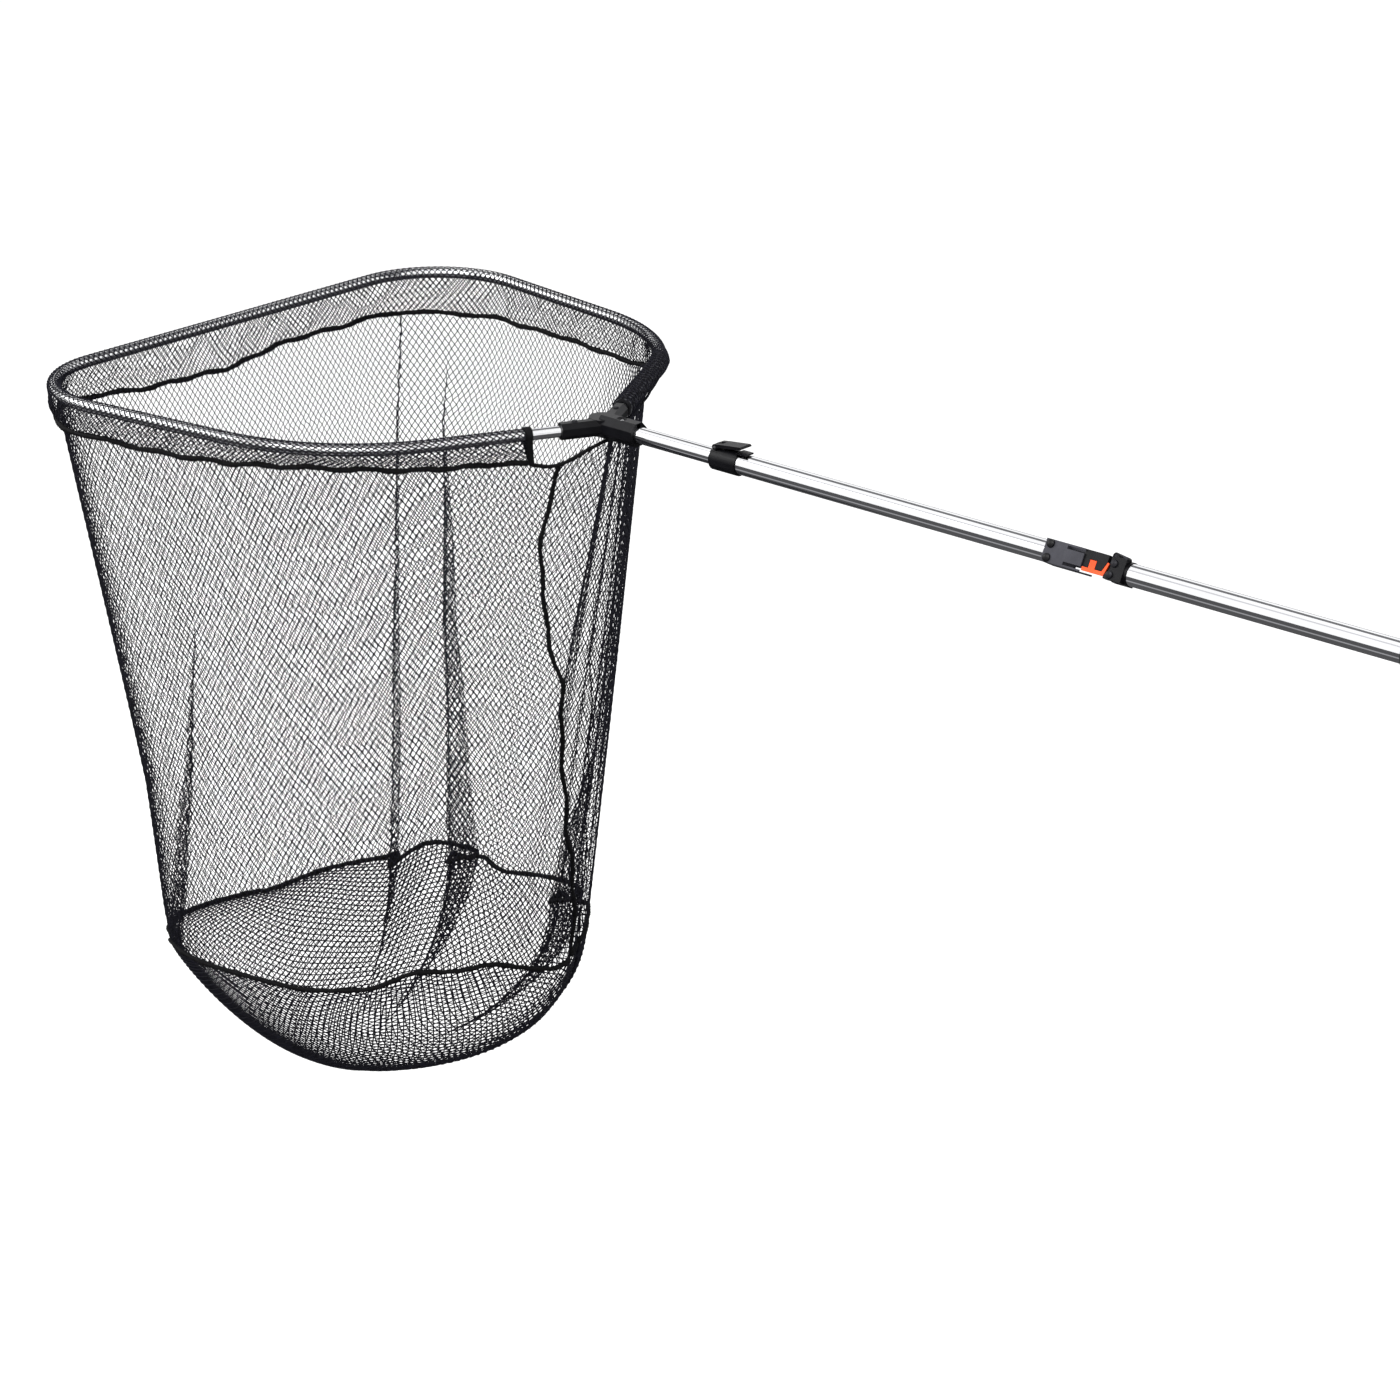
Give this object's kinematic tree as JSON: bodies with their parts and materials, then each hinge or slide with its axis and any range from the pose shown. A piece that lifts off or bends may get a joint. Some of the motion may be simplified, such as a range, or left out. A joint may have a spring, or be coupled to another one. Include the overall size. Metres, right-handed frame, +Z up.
{
  "type": "landing net",
  "caption": "Folding landing net: deep mesh bag on a bent tube hoop, yoke with snap button, telescopic pole with lever clamp, and a fold lock in the handle.",
  "frame": {"origin": "middle of the hand grip, on the handle's axis", "axes": "+X along the handle from the grip to the hoop, +Z up with the bag hanging down, +Y to the left of someone holding the grip and facing the hoop"},
  "size_m": [1.6762, 0.6598, 0.8371],
  "materials": {
    "aluminium": "polished anodised tube",
    "steel": "plain",
    "dark_steel": "blackened",
    "black_plastic": "satin moulded",
    "grey_casting": "grey coated casting",
    "orange_plastic": "satin",
    "mesh": "knotless black nylon mesh",
    "binding": "black woven tape",
    "foam": "black foam"
  },
  "bodies": {
    "rear_handle": {"rear_tube": "aluminium", "grip": "foam", "butt_cap": "black_plastic", "fold_knuckle": "black_plastic", "fold_pin": "steel", "knuckle_screw_upper_front": "dark_steel", "knuckle_screw_lower_front": "dark_steel", "knuckle_screw_upper_back": "dark_steel", "knuckle_screw_lower_back": "dark_steel"},
    "front_handle": {"fold_fork": "grey_casting", "fork_rivet_upper": "dark_steel", "fork_rivet_lower": "dark_steel", "front_tube": "aluminium", "clamp_collar": "black_plastic", "clamp_bush": "black_plastic", "clamp_pin": "steel"},
    "fold_slider": {"lock_slider": "black_plastic", "catch_spring": "steel"},
    "fold_catch": {"lock_catch": "orange_plastic"},
    "lever": {"clamp_lever": "black_plastic"},
    "pole": {"inner_pole": "aluminium", "pole_bush": "black_plastic", "snap_spring": "steel"},
    "button": {"snap_button": "steel"},
    "head": {"yoke": "black_plastic", "hoop_tube": "aluminium", "arm_rivet_near": "dark_steel", "arm_rivet_far": "dark_steel", "rim_band": "mesh", "rim_seam_tape": "binding", "gathered_sleeve": "mesh", "end_binding": "binding", "edge_cord": "binding", "net_wall": "mesh", "side_seam_tape": "binding", "base_seam_tape": "binding", "net_base": "mesh"}
  },
  "joints": [
    {"name": "fold_hinge", "type": "hinge", "parent": "rear_handle", "child": "front_handle", "pos_m": [0.378, -0.00577, 0.01086], "axis": [0, -0.8829, -0.4695], "range_deg": [0, 175]},
    {"name": "lock_slide", "type": "slide", "parent": "front_handle", "child": "fold_slider", "axis": [1, 0, 0], "range_m": [0, 0.013]},
    {"name": "catch_press", "type": "slide", "parent": "fold_slider", "child": "fold_catch", "axis": [0, 0.8829, 0.4695], "range_m": [-0.0018, 0], "stiffness_N_per_m": 500},
    {"name": "clamp_lever_hinge", "type": "hinge", "parent": "front_handle", "child": "lever", "pos_m": [0.871, 0, 0.0134], "axis": [0, 1, 0], "range_deg": [0, 120]},
    {"name": "pole_slide", "type": "slide", "parent": "front_handle", "child": "pole", "axis": [1, 0, 0], "range_m": [-0.09, 0.235]},
    {"name": "button_press", "type": "slide", "parent": "pole", "child": "button", "axis": [0, 0, 1], "range_m": [-0.003, 0], "stiffness_N_per_m": 800},
    {"name": "head_release", "type": "slide", "parent": "pole", "child": "head", "axis": [1, 0, 0], "range_m": [0, 0.04]}
  ]
}
